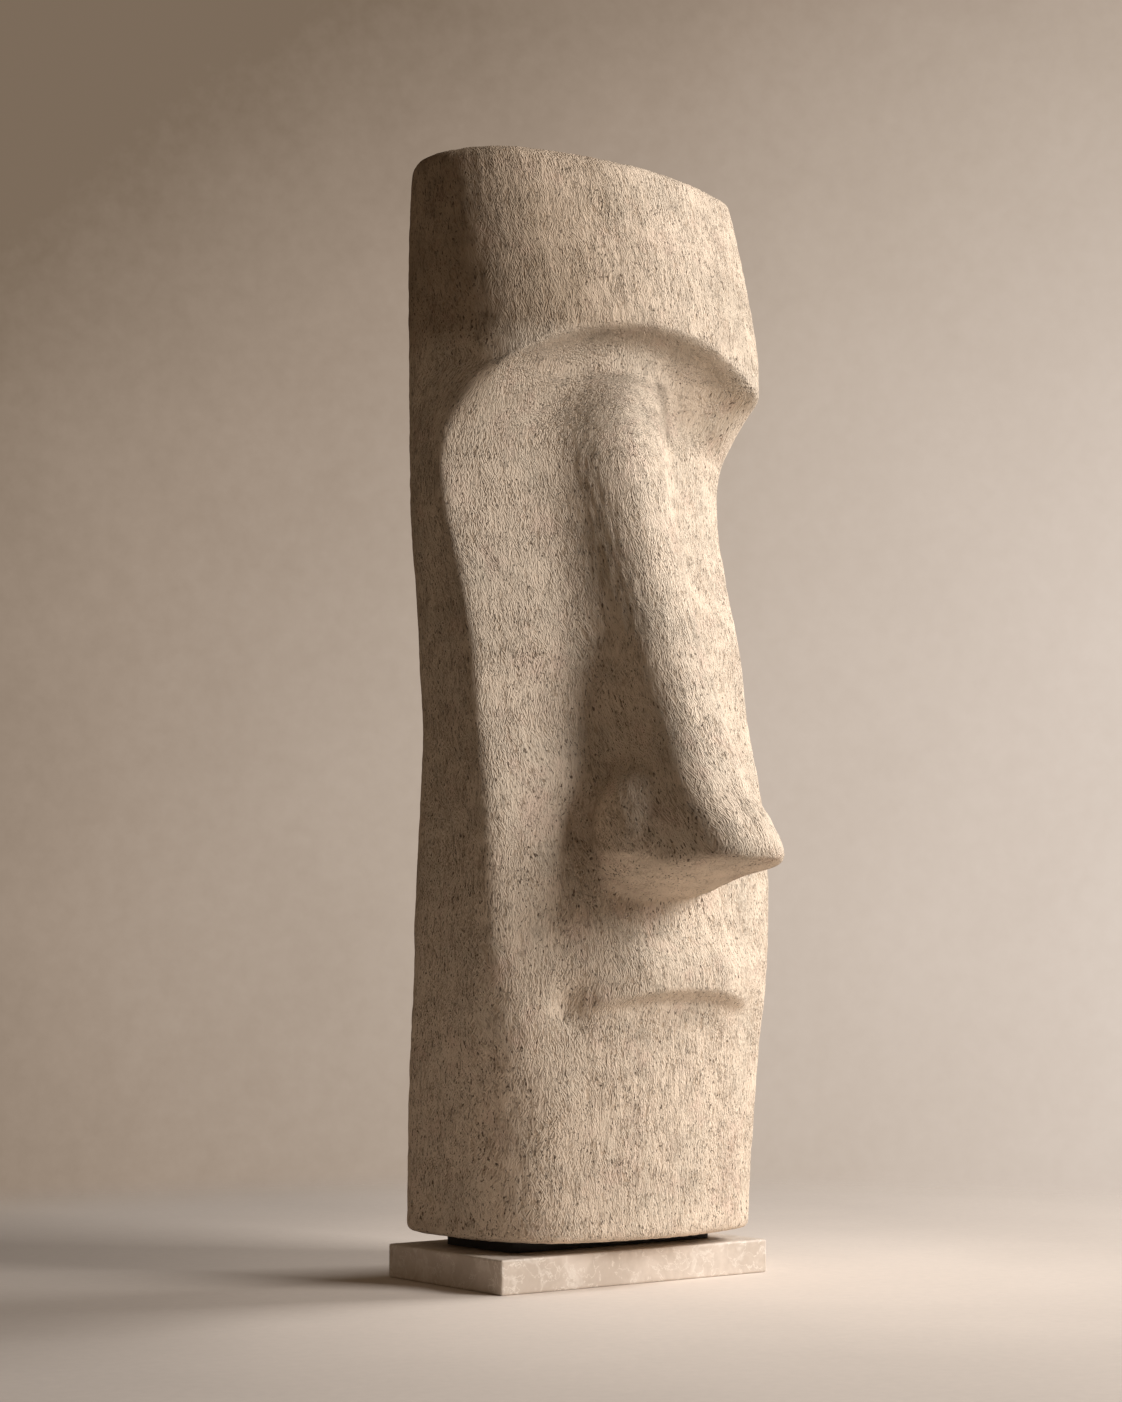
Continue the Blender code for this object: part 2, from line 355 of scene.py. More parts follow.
@dataclass(frozen=True)
class CarvedStone:
    """Warm beige stone worked with a narrow tool, with small pits; shade in its pits and stroke
    creases, and on the forehead's side away from the lamps, is painted into the colour. Sizes in
    millimetres.
    """

    warm: Colour = (0.74, 0.61, 0.48)
    grey: Colour = (0.685, 0.575, 0.455)
    rosy: Colour = (0.70, 0.54, 0.43)
    # crease: painted shade in the low parts of the strokes and in the cracks
    crease: Colour = (0.40, 0.285, 0.19)
    # Streaky stain on the forehead, and painted shade on its side away from the lamps
    stain_and_painted_shade: Colour = (0.62, 0.56, 0.50)
    # pit: painted shade inside the small holes
    pit: Colour = (0.10, 0.066, 0.042)
    stroke_width: float = 1.25
    stroke_length: float = 9.0
    stroke_leans: tuple[float, ...] = (-0.30, 0.04, 0.34)
    wander: float = 5.0
    wander_size: float = 36.0
    shiver: float = 0.45
    shiver_size: float = 5.0
    patch_size: float = 22.0
    cloud_size: float = 34.0
    rosy_size: float = 24.0
    streak_size: float = 16.0
    crack_group_size: float = 9.0
    pit_group_size: float = 14.0
    relief_metres: float = 0.0013
    roughness: float = 0.92
    specular: float = 0.15
    brow_level: float = 541.0

    def make(self) -> bpy.types.Material:
        """Build the material, whose strokes follow the head's own flow.

        Returns:
            The stone.
        """
        material, net = new_material("carved_stone")
        flow = net.node("ShaderNodeAttribute", {"attribute_name": "flow"}, {}, "Vector")
        tooled = net.node("ShaderNodeAttribute", {"attribute_name": "tooling"}, {}, "Fac")
        place = self._wandered(net, flow)
        shifted = net.moved(flow, (5.0, 40.0, 60.0))
        patch = net.noise(shifted, 1.0 / self.patch_size, 2.0, 0.6).step(0.32, 0.68)
        strokes = self._strokes(net, place)
        pits = self._pits(net, place)
        grain = net.noise(flow, 1.1, 3.0, 0.65)
        cracks = self._cracks(net, place)
        cut = strokes * (0.5 + 0.8 * patch) - 0.55 * cracks
        height = cut * (0.40 + 0.60 * tooled) + 0.22 * grain - 0.8 * pits
        sockets = {"Strength": 1.0, "Distance": self.relief_metres, "Height": height}
        normal = net.node("ShaderNodeBump", {}, sockets)
        # What the colour shows of the strokes and cracks; their low parts get painted shade below
        shown = (strokes - 0.35 * cracks + 0.12 * (1.0 - patch)) * tooled + 0.75 * (1.0 - tooled)
        colour = self._colour(net, flow, shown, pits, grain)
        finish_material(net, colour, self.roughness, normal, self.specular)
        return material

    def _wandered(self, net: Net, flow: Value) -> Value:
        """Let the strokes' direction wander slowly, and shiver a little.

        Args:
            net: The material's net.
            flow: Straightened place on the head.

        Returns:
            The place at which the strokes are read.
        """
        centred = (-0.5, -0.5, -0.5)
        slow = net.moved(net.noise(flow, 1.0 / self.wander_size, 1.0, 0.5, 1), centred)
        quick = net.moved(net.noise(flow, 1.0 / self.shiver_size, 1.0, 0.5, 1), centred)
        drift = (2.0 * self.wander, 2.0 * self.wander, self.wander)
        place = net.moved(flow, net.scaled(slow, drift))
        return net.moved(place, net.scaled(quick, (2.0 * self.shiver, 2.0 * self.shiver, 0.0)))

    def _leaning(self, net: Net, place: Value, lean: float) -> Value:
        """Lean the strokes to one side.

        Args:
            net: The material's net.
            place: Where the strokes are read.
            lean: How far they lean for each unit of length; it also shifts the pattern.

        Returns:
            The leaning place.
        """
        up = net.node("ShaderNodeSeparateXYZ", {}, {"Vector": place}, "Z")
        parts = {"X": up * lean, "Y": up * lean, "Z": 37.0 * lean}
        sideways = net.node("ShaderNodeCombineXYZ", {}, parts)
        return net.moved(place, sideways)

    def _strokes(self, net: Net, place: Value) -> Value:
        """Lay short narrow ridges across each other, with creases between.

        Args:
            net: The material's net.
            place: Where the strokes are read.

        Returns:
            The height of the tool marks.
        """
        across, along = 1.0 / self.stroke_width, 1.0 / self.stroke_length
        height: Value | None = None
        for lean in self.stroke_leans:
            spot = net.scaled(self._leaning(net, place, lean), (across, across, along))
            ridge = 1.0 - 1.15 * net.cells(spot)
            height = ridge if height is None else height.highest(ridge)
        rough = net.noise(net.scaled(place, (across, across, along * 1.6)), 1.7, 3.0, 0.6)
        coarse = net.noise(net.scaled(place, (across, across, along)), 0.33, 2.0, 0.5)
        ridged = height.step(0.15, 1.0) * 0.62
        return ridged + rough * 0.45 + coarse.step(0.3, 0.7) * 0.22 - 0.15

    def _cracks(self, net: Net, place: Value) -> Value:
        """Draw thin lines that run along the strokes and fade in and out; the colour darkens them
        with painted shade.

        Args:
            net: The material's net.
            place: Where the strokes are read.

        Returns:
            1 in a crack and 0 outside.
        """
        across, along = 0.40 / self.stroke_width, 0.45 / self.stroke_length
        spot = net.scaled(net.moved(place, (3.0, 50.0, 21.0)), (across, across, along))
        line = abs(net.noise(spot, 1.0, 3.0, 0.6) - 0.5).step(0.020, 0.004)
        shifted = net.moved(place, (90.0, 2.0, 8.0))
        group = net.noise(shifted, 1.0 / self.crack_group_size, 2.0, 0.6)
        return line * group.step(0.42, 0.60)

    def _pits(self, net: Net, place: Value) -> Value:
        """Set small holes, longer than wide, in loose groups; the colour fills them with painted
        shade.

        Args:
            net: The material's net.
            place: Where the strokes are read.

        Returns:
            1 in a pit and 0 outside.
        """
        spot = net.moved(net.scaled(place, (0.95, 0.95, 0.36)), (31.0, 7.0, 12.0))
        thin = net.noise(spot, 1.0, 1.5, 0.45)
        shifted = net.moved(place, (11.0, 90.0, 5.0))
        group = net.noise(shifted, 1.0 / self.pit_group_size, 2.0, 0.6)
        return (thin + 0.22 * (group - 0.5)).step(0.645, 0.715)

    def _colour(self, net: Net, flow: Value, strokes: Value, pits: Value, grain: Value) -> Value:
        """Mix the stone's tints with painted shade in its creases and its pits.

        Args:
            net: The material's net.
            flow: Straightened place on the head.
            strokes: Height of the strokes as the colour shows it.
            pits: 1 in a pit.
            grain: Fine noise.

        Returns:
            The base colour.
        """
        cloud = net.noise(flow, 1.0 / self.cloud_size, 4.0, 0.6)
        shifted = net.moved(flow, (70.0, 20.0, 40.0))
        patch = net.noise(shifted, 1.0 / self.rosy_size, 4.0, 0.65)
        tint = net.blend(cloud.step(0.42, 0.68), self.warm, self.grey)
        tint = net.blend(patch.step(0.52, 0.72) * 0.7, tint, self.rosy)
        # Painted shade: the low parts of the strokes and the cracks are darkened with the crease
        # colour
        crease_shade = (strokes + 0.4 * (grain - 0.5)).step(0.50, 0.16) * 0.6
        tint = net.blend(crease_shade, tint, self.crease)
        # Streaky stain, and painted shade on the forehead's side away from the lamps
        tint = net.blend(self._streaks_and_painted_shade(net, flow, cloud), tint, self.stain_and_painted_shade, Mixing.DARKEN)
        tint = net.times(tint, 0.88 + 0.22 * grain)
        # Painted shade: the pits are filled with a nearly black colour
        return net.blend(pits * 0.8, tint, self.pit)

    def _streaks_and_painted_shade(self, net: Net, flow: Value, cloud: Value) -> Value:
        """Darken the forehead in loose upright streaks, most on the side away from the lamps, where
        the darkening is painted shade.

        Args:
            net: The material's net.
            flow: Straightened place on the head.
            cloud: Soft noise.

        Returns:
            How much of the streaks and the painted shade is mixed in.
        """
        axes = net.node("ShaderNodeSeparateXYZ", {}, {"Vector": flow})
        side, _, level = (Value(net, socket) for socket in axes.socket.node.outputs)
        streak = net.noise(net.scaled(flow, (1.0, 1.0, 0.3)), 1.0 / self.streak_size, 3.0, 0.6)
        above = level.step(self.brow_level - 14.0, self.brow_level + 4.0)
        # Painted shade: stronger on the forehead's side away from the lamps
        shaded = (side + 46.0 * streak).step(60.0, -40.0)
        return above * (0.30 + 0.70 * shaded) * (0.6 + 0.8 * (cloud - 0.3))


@dataclass(frozen=True)
class HonedMarble:
    """Taupe marble, honed, with soft clouds and thin pale veins."""

    ground: Colour = (0.68, 0.585, 0.50)
    dark: Colour = (0.54, 0.45, 0.37)
    pale: Colour = (0.84, 0.77, 0.69)

    def make(self) -> bpy.types.Material:
        """Build the material on Object coordinates in millimetres.

        Returns:
            The marble.
        """
        material, net = new_material("honed_marble")
        metres = net.node("ShaderNodeTexCoord", {}, {}, "Object")
        place = net.scaled(metres, (1000.0, 1000.0, 1000.0))
        warp = net.scaled(net.noise(place, 1.0 / 30.0, 3.0, 0.6, 1), (22.0, 22.0, 22.0))
        bent = net.moved(place, warp)
        cloud = net.noise(bent, 1.0 / 26.0, 4.0, 0.6)
        fine = net.noise(place, 1.0 / 4.0, 3.0, 0.6)
        vein = abs(net.noise(bent, 1.0 / 22.0, 5.0, 0.62) - 0.5).step(0.014, 0.0)
        shifted = net.moved(bent, (40.0, 9.0, 5.0))
        wide = abs(net.noise(shifted, 1.0 / 45.0, 4.0, 0.6) - 0.5).step(0.035, 0.0)
        tint = net.blend(cloud.step(0.38, 0.66), self.dark, self.ground)
        tint = net.blend(0.25 * fine + 0.35 * wide, tint, self.pale)
        tint = net.blend(0.65 * vein, tint, self.pale)
        sockets = {"Strength": 0.4, "Distance": 0.0002, "Height": fine}
        dents = net.node("ShaderNodeBump", {}, sockets)
        finish_material(net, tint, 0.46 + 0.14 * fine, dents, 0.4)
        return material


@dataclass(frozen=True)
class BlackPaint:
    """Flat black paint with a trace of dust."""

    paint: Colour = (0.014, 0.013, 0.012)
    dust: Colour = (0.045, 0.04, 0.034)

    def make(self) -> bpy.types.Material:
        """Build the material on Object coordinates in metres.

        Returns:
            The paint.
        """
        material, net = new_material("black_paint")
        place = net.node("ShaderNodeTexCoord", {}, {}, "Object")
        dust = net.noise(place, 90.0, 4.0, 0.6).step(0.45, 0.75)
        orange_peel = net.noise(place, 1800.0, 1.0, 0.5)
        sockets = {"Strength": 0.3, "Distance": 0.0001, "Height": orange_peel}
        normal = net.node("ShaderNodeBump", {}, sockets)
        tint = net.blend(dust, self.paint, self.dust)
        finish_material(net, tint, 0.55 + 0.25 * dust, normal, 0.4)
        return material


@dataclass(frozen=True)
class HeadForm:
    """The carved form. Lengths are units of a 658th of the head's height; depths run forward."""

    height: float = 0.658
    base: float = 0.0266
    units_tall: float = 658.0
    brow_level: float = 541.0
    nose_tip_level: float = 225.0
    nose_underside_drop: float = 21.0
    nose_back_depth: float = -4.0
    wing_level: float = 237.0
    wing_depth: float = 94.0
    wing_swell: float = 13.0
    wing_length: float = 25.0
    wing_height: float = 34.0
    wing_crease: float = 7.0
    flare_length: float = 75.0
    flat_flank: float = 0.5
    arch_rise: float = 22.0
    arch_half_width: float = 95.0
    mouth_level: float = 149.0
    mouth_arch: float = 8.0
    mouth_half_width: float = 70.0
    mouth_shift: float = 9.0
    top_edge_round: float = 11.0
    bottom_edge_round: float = 7.0
    forehead_bow: float = 0.0023
    worn_corner: float = 32.0
    worn_chin: float = 28.0
    axis_depth: float = -8.0

    def half_width(self, level: Array) -> Array:
        """Half the head's width at a level."""
        return through(level, (0, 95), (84, 102.3), (150, 108.5), (196, 111), (260, 110),
                       (324, 107.4), (380, 107.3), (444, 110.3), (534, 111.2), (658, 109))

    def back_depth(self, level: Array) -> Array:
        """How far the back stands behind the plinth's middle."""
        return through(level, (0, 57), (78, 47.4), (174, 31.8), (281, 29.4), (340, 36), (424, 43),
                       (534, 45.5), (614, 48), (658, 46))

    def forehead_depth(self, side: Array, level: Array) -> Array:
        """Read the forehead, which leans forward down to the brow and bows across.

        Args:
            side: Places across the head.
            level: Places upward.

        Returns:
            The depth of the forehead's front.
        """
        brow = self.brow_level
        middle = through(level, (0, 150), (444, 150), (489, 82), (brow - 27, 81.5),
                         (brow - 1, 80.5), (574, 73.5), (614, 62.5), (658, 49))
        return middle - self.forehead_bow * side * side

    def cheek_edge_depth(self, level: Array) -> Array:
        """Depth of the face where it meets the side of the head."""
        return through(level, (0, 55), (44, 53.6), (110, 54.8), (169, 57.9), (209, 57.9),
                       (256, 53.4), (315, 40), (351, 34.3), (376, 27.7), (413, 16), (444, 8),
                       (463, 7), (480, 10.5), (496, 22.5), (512, 39.5), (520, 55), (534, 87),
                       (574, 170))

    def cheek_bow(self, level: Array) -> Array:
        """How far the middle of the face stands in front of its edges."""
        return through(level, (0, 24), (114, 27), (154, 25), (196, 19.5), (237, 16), (274, 18),
                       (319, 19), (364, 25.5), (444, 29), (474, 30), (494, 26), (519, 20))

    def face_depth(self, side: Array, level: Array) -> Array:
        """Read the face without its nose: brow arch, cheeks, lips and chin.

        Args:
            side: Places across the head.
            level: Places upward.

        Returns:
            The depth of the face's front.
        """
        arch = np.maximum(1.0 - (side / self.arch_half_width) ** 2, 0.0)
        arch_lift = self.arch_rise * arch * ease(level, 414, 494)
        under_arch = level - arch_lift
        across = 1.0 - (side / self.half_width(level)) ** 2
        depth = self.cheek_edge_depth(under_arch) + self.cheek_bow(under_arch) * across
        aside = side - self.mouth_shift
        from_mouth = level - self.mouth_level + self.mouth_arch * (aside / 60.0) ** 2
        lip = through(from_mouth, (-60, 0), (-40, 0), (-24, 0.5), (-12, 2.5), (-2, 15),
                      (8, 15.5), (35, 8), (62, 7), (110, 0))
        depth = depth + lip * hump(side, 13.0, 62.0, 4)
        away, mouth = np.abs(aside), self.mouth_level
        corner = hump(away, self.mouth_half_width, 10.0) * hump(level, mouth - 13, 13.0)
        outward = away - 0.45 * (mouth - 13 - level)
        crease = hump(outward, self.mouth_half_width, 14.0) * hump(level, mouth - 36, 20.0)
        depth = depth - (8.5 * corner + 2.0 * crease) * (1.0 - 0.6 * ease(side, -20, 20))
        beside_wing = hump(np.abs(side), 50, 9.0) * hump(level, self.wing_level, 24.0)
        return depth - self.wing_crease * beside_wing

    def ridge_depth(self, level: Array) -> Array:
        """Front of the nose, nearly flat at the root and sweeping out to the tip."""
        return through(level, (190, 182), (self.nose_tip_level, 179), (241, 169), (262, 151),
                       (292, 132), (324, 116), (365, 99), (404, 86), (444, 73), (489, 61),
                       (514, 58), (539, 50), (574, 20), (658, -40))

    def nose(self, side: Array, depth: Array, level: Array) -> Array:
        """Shape the nose: rounded front, steep flanks, swelling wings and a sloping underside.

        Args:
            side: Places across the head.
            depth: Places forward.
            level: Places upward.

        Returns:
            The inside value, below zero in the nose.
        """
        tip = self.nose_tip_level
        away = np.abs(side)
        ridge = self.ridge_depth(level)
        shoulder = through(level, (tip, 31), (241, 31), (262, 30), (284, 27), (300, 26), (554, 26))
        flare = through(level, (tip, 0.1), (280, 0.1), (324, 0.08))
        corner = through(level, (tip, 32), (262, 28), (296, 20), (324, 18))
        bulge = through(level, (tip, 0.0145), (262, 0.0125), (296, 0.0095), (324, 0.0089))
        flatter = self.flat_flank * ease(-side, 0, 14) * (1.0 - ease(level, 262, 330))
        corner, bulge = corner * (1.0 - 0.8 * flatter), bulge * (1.0 - flatter)
        from_wing = np.hypot((depth - self.wing_depth) / self.wing_length,
                             (level - self.wing_level) / self.wing_height)
        wing = hump(from_wing, 0.0, 1.0, 4)
        behind = np.minimum(ridge - depth, self.flare_length)
        flank = (away - shoulder - flare * behind - self.wing_swell * wing) * 0.98
        front = (depth - ridge + bulge * side * side) * 0.9
        body = cut_by(flank, front, corner)
        outline = through(depth, (60, 47), (80, 50), (92, 50), (105, 46), (125, 40), (150, 36),
                          (176, 26))
        drop = self.nose_underside_drop * np.clip((172.0 - depth) / 80.0, 0.0, 1.0)
        underside = tip - 4.5 - 2.0 * ease(depth, 125, 165)
        underside = underside - drop * np.maximum(1.0 - (away / outline) ** 3, 0.0)
        body = cut_by(body, (underside - level) * 0.95, 6.0)
        return np.maximum(body, self.nose_back_depth - depth)

    def inside(self, side: Array, depth: Array, level: Array) -> Array:
        """Shape the whole head.

        Args:
            side: Places across the head.
            depth: Places forward.
            level: Places upward.

        Returns:
            The inside value, below zero in the stone and above zero outside.
        """
        back_edge = through(level, (0, 16), (144, 21), (281, 28), (658, 32))
        flanks = np.abs(side) - self.half_width(level)
        walls = cut_by(flanks, -self.back_depth(level) - depth, back_edge)
        front_corner = through(level, (489, 22), (549, 15), (614, 10), (658, 7))
        worn = ease(-side, 20, 85)
        front_corner = front_corner + self.worn_corner * worn
        block = cut_by(walls, (depth - self.forehead_depth(side, level)) * 0.95, front_corner)
        face_edge = through(level, (0, 16), (174, 15), (256, 12), (315, 8), (394, 6), (658, 5))
        face_edge = face_edge + self.worn_chin * worn * (1.0 - ease(level, 60, 180))
        carved = cut_by(block, (depth - self.face_depth(side, level)) * 0.9, face_edge)
        fillet = through(level, (209, 5), (241, 5), (262, 8), (284, 18), (319, 26), (444, 36),
                         (494, 30), (524, 16))
        carved = join_to(carved, self.nose(side, depth, level), fillet)
        carved = cut_by(carved, level - self.units_tall, self.top_edge_round)
        return cut_by(carved, -level, self.bottom_edge_round)

    def edge_depth(self, level: Array) -> Array:
        """Depth of the edge between the face and the side, all the way up."""
        corner = self.forehead_depth(self.half_width(level) - 6.0, level) - 5.0
        return -cut_by(-self.cheek_edge_depth(level), -corner, 10.0)

    def flow(self, side: Array, depth: Array, level: Array) -> Array:
        """Straighten the head, so that marks along the third axis follow its edges and its nose.

        Args:
            side: Places across the head.
            depth: Places forward.
            level: Places upward.

        Returns:
            Straightened places in millimetres, one row of three for each point.
        """
        back, edge = -self.back_depth(level), self.edge_depth(level)
        ridge = np.maximum(self.ridge_depth(level), edge + 60.0)
        behind = -45.0 + 75.0 * (depth - back) / (edge - back)
        ahead = 30.0 + 80.0 * (depth - edge) / (ridge - edge)
        straight = np.where(depth < edge, behind, ahead)
        return np.stack([side, straight, level], axis=-1) * (self.height / self.units_tall * 1000.0)


@dataclass(frozen=True)
class ToolRelief:
    """Relief that the carver's tools leave, cut inwards. Lengths are in millimetres."""

    swell_size: float = 44.0
    swell_depth: float = 0.9
    mark_width: float = 4.2
    mark_length: float = 11.0
    mark_depth: float = 0.5
    seed: float = 4.0

    def tree(self) -> bpy.types.GeometryNodeTree:
        """Build the tree that presses the relief into a mesh with flow and tooling attributes.

        Returns:
            The tree, with one input for each size, the seed and the stone.
        """
        tree = bpy.data.node_groups.new("tool_relief", "GeometryNodeTree")
        kinds = {"Geometry": "Geometry", **dict.fromkeys(self.sizes(), "Float"), "Stone": "Material"}
        for name, kind in kinds.items():
            tree.interface.new_socket(name, in_out="INPUT", socket_type=f"NodeSocket{kind}")
        tree.interface.new_socket("Geometry", in_out="OUTPUT", socket_type="NodeSocketGeometry")
        net = Net(tree)
        given = {name: net.node("NodeGroupInput", {}, {}, name) for name in kinds}
        height = self._height(net, given)
        normal = net.node("GeometryNodeInputNormal", {}, {}, "Normal")
        sockets = {"Geometry": given["Geometry"], "Offset": net.times(normal, height)}
        cut = net.node("GeometryNodeSetPosition", {}, sockets)
        real = net.node("GeometryNodeRealizeInstances", {}, {"Geometry": cut})
        sockets = {"Geometry": real, "Material": given["Stone"]}
        dressed = net.node("GeometryNodeSetMaterial", {}, sockets)
        net.node("NodeGroupOutput", {}, {"Geometry": dressed})
        return tree

    def sizes(self) -> dict[str, float]:
        """Name the tree's inputs and their values."""
        return {"Swell size": self.swell_size, "Swell depth": self.swell_depth,
                "Mark width": self.mark_width, "Mark length": self.mark_length,
                "Mark depth": self.mark_depth, "Seed": self.seed}

    def _height(self, net: Net, given: dict[str, Value]) -> Value:
        """Work out the relief.

        Args:
            net: The tree's net.
            given: The tree's inputs by name.

        Returns:
            How far the surface moves along its normal, in metres.
        """
        stored = "GeometryNodeInputNamedAttribute"
        flow = net.node(stored, {"data_type": "FLOAT_VECTOR"}, {"Name": "flow"}, "Attribute")
        tooled = net.node(stored, {"data_type": "FLOAT"}, {"Name": "tooling"}, "Attribute")
        axes = net.node("ShaderNodeSeparateXYZ", {}, {"Vector": flow})
        parts = [Value(net, socket) for socket in axes.socket.node.outputs]
        size, width, length = given["Swell size"], given["Mark width"], given["Mark length"]
        swell = self._noise(net, parts, size, size, given["Seed"])
        marks = self._noise(net, parts, width, length, given["Seed"])
        depth = given["Swell depth"] * (1.0 - swell)
        depth = depth + given["Mark depth"] * tooled * (1.0 - marks.step(0.3, 0.7))
        return depth * -0.001

    @staticmethod
    def _noise(net: Net, axes: list[Value], width: Value, length: Value, seed: Value) -> Value:
        """Read noise that is stretched along the flow.

        Args:
            net: The tree's net.
            axes: Parts of the straightened place.
            width: Size of the spots across the flow.
            length: Size of the spots along it.
            seed: Which noise it is.

        Returns:
            The noise, from 0 to 1.
        """
        parts = {"X": axes[0] / width, "Y": axes[1] / width, "Z": axes[2] / length}
        place = net.node("ShaderNodeCombineXYZ", {}, parts)
        sockets = {"Vector": place, "W": seed, "Scale": 1.0, "Detail": 2.0}
        return net.node("ShaderNodeTexNoise", {"noise_dimensions": "4D"}, sockets)

    def apply(self, piece: bpy.types.Object, stone: bpy.types.Material) -> None:
        """Cut the relief into a piece and leave a plain mesh.

        Args:
            piece: The piece, whose mesh is replaced.
            stone: The material that the tree sets.
        """
        modifier = piece.modifiers.new("tool_relief", "NODES")
        modifier.node_group = self.tree()
        for item in modifier.node_group.interface.items_tree:
            if item.in_out == "INPUT" and item.name in self.sizes():
                modifier[item.identifier] = self.sizes()[item.name]
            elif item.in_out == "INPUT" and item.name == "Stone":
                modifier[item.identifier] = stone
        graph = bpy.context.evaluated_depsgraph_get()
        mesh = bpy.data.meshes.new_from_object(piece.evaluated_get(graph))
        piece.modifiers.remove(modifier)
        piece.data = mesh


@dataclass
class MoaiHead:
    """The carved head as a fine mesh with relief."""

    form: HeadForm
    relief: ToolRelief
    finish: CarvedStone
    ring_count: int = 292
    front_columns: int = 98
    rear_columns: int = 62
    top_rings: int = 8
    underside_rings: int = 3
    brow_sag: float = 17.0
    ray_reach: float = 300.0
    bisections: int = 34

    def levels(self) -> Array:
        """Space the rings, closer together where the form turns quickly.

        Returns:
            The rings' levels.
        """
        form = self.form

        def crowding(level: Array) -> Array:
            """Say how close the rings stand."""
            return (1.0 + 0.5 * hump(level, form.mouth_level - 3, 14.0)
                    + 1.6 * hump(level, form.nose_tip_level - 8, 14.0)
                    + 0.7 * hump(level, form.brow_level - 22, 26.0)
                    + 2.0 * hump(level, form.units_tall, 6.0) + 1.5 * hump(level, 0.0, 5.0))

        return spread(0.05, form.units_tall - 0.05, self.ring_count, crowding)

    def shares(self) -> Array:
        """Space the columns, closer together at the nose's flank and the face's edge.

        Returns:
            Places round a ring: 0 at the nose, 1 at the face's edge, 2 at the back.
        """
        front = spread(0.0, 1.0, self.front_columns + 1,
                       lambda place: 1.0 + hump(place, 0.24, 0.22))
        rear = spread(1.0, 2.0, self.rear_columns + 1,
                      lambda place: 1.0 + 0.6 * hump(place, 1.0, 0.1))
        half = np.concatenate([front, rear[1:]])
        return np.concatenate([half, -half[-2:0:-1]])

    def grid(self) -> tuple[Array, Array]:
        """Lay rows along the brow and columns along the edges.

        Returns:
            The direction and the level of every point.
        """
        form = self.form
        level, share = np.meshgrid(self.levels(), self.shares(), indexing="ij")
        away = np.abs(share)
        sag = self.brow_sag * np.clip(away, 0.0, 1.0) ** 2 * (1.0 - ease(away, 1.0, 1.6))
        level = level - sag * hump(level, form.brow_level, 42.0)
        edge = np.arctan2(form.half_width(level), form.edge_depth(level) - form.axis_depth)
        angle = np.where(away < 1.0, edge * away, edge + (math.pi - edge) * (away - 1.0))
        return np.copysign(angle, share), level

    def rings(self) -> Array:
        """Find where rays from the head's axis leave the stone.

        Returns:
            Side, depth and level of every point, in units.
        """
        form = self.form
        angle, level = self.grid()
        near, far = np.zeros_like(level), np.full_like(level, self.ray_reach)
        for _ in range(self.bisections):
            middle = (near + far) / 2.0
            depth = form.axis_depth + np.cos(angle) * middle
            stone = form.inside(np.sin(angle) * middle, depth, level) < 0.0
            near, far = np.where(stone, middle, near), np.where(stone, far, middle)
        depth = form.axis_depth + np.cos(angle) * near
        return np.stack([np.sin(angle) * near, depth, level], axis=-1)

    @staticmethod
    def cap(ring: Array, count: int) -> Array:
        """Return rings that shrink from an end ring towards its middle."""
        middle = ring.mean(axis=0)
        return np.array([middle + (ring - middle) * (1.0 - k / count) for k in range(1, count)])

    def mesh(self) -> bpy.types.Mesh:
        """Make the closed mesh with its flow and tooling attributes.

        Returns:
            The mesh, in metres.
        """
        form = self.form
        rings = self.rings()
        under = self.cap(rings[0], self.underside_rings)[::-1]
        rows = np.concatenate([under, rings, self.cap(rings[-1], self.top_rings)])
        count, columns = rows.shape[:2]
        ends = np.stack([rows[0].mean(axis=0), rows[-1].mean(axis=0)])
        places = np.concatenate([rows.reshape(-1, 3), ends])
        unit = form.height / form.units_tall
        side, depth, level = places.T
        points = np.stack([side * unit, -depth * unit, level * unit + form.base], axis=-1)
        row, column = np.meshgrid(np.arange(count - 1), np.arange(columns), indexing="ij")
        beside = (column + 1) % columns
        low, high = row * columns, (row + 1) * columns
        quads = np.stack([low + column, low + beside, high + beside, high + column], axis=-1)
        quads = quads.reshape(-1, 4)
        around = np.arange(columns)
        after, last = (around + 1) % columns, (count - 1) * columns
        low = np.stack([np.full(columns, count * columns), after, around], axis=-1)
        crown = np.full(columns, count * columns + 1)
        high = np.stack([crown, last + around, last + after], axis=-1)
        made = bpy.data.meshes.new("moai_head_carved")
        made.from_pydata(points.tolist(), [], quads.tolist() + low.tolist() + high.tolist())
        made.polygons.foreach_set("use_smooth", [True] * len(made.polygons))
        self._write(made, "flow", "FLOAT_VECTOR", "vector", form.flow(*places.T))
        self._write(made, "tooling", "FLOAT", "value", self.tooling(made))
        return made

    @staticmethod
    def tooling(made: bpy.types.Mesh) -> Array:
        """Say how strongly each point is tooled: less where the surface looks down.

        Args:
            made: The head's mesh.

        Returns:
            A strength from 0.5 to 1 for each point.
        """
        normals = np.zeros(len(made.vertices) * 3)
        made.vertex_normals.foreach_get("vector", normals)
        down = -normals.reshape(-1, 3)[:, 2]
        return 1.0 - 0.5 * ease(down, 0.12, 0.5)

    @staticmethod
    def _write(made: bpy.types.Mesh, name: str, kind: str, key: str, values: Array) -> None:
        """Store one attribute on a mesh's points."""
        attribute = made.attributes.new(name, kind, "POINT")
        attribute.data.foreach_set(key, np.ascontiguousarray(values, float).ravel())

    def build(self) -> bpy.types.Object:
        """Carve the head, cut its relief and put it in the frame.

        Returns:
            The head.
        """
        piece = bpy.data.objects.new("moai_head_carved", self.mesh())
        bpy.context.scene.collection.objects.link(piece)
        stone = self.finish.make()
        self.relief.apply(piece, stone)
        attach(piece, "root")
        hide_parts("moai_head")
        return piece


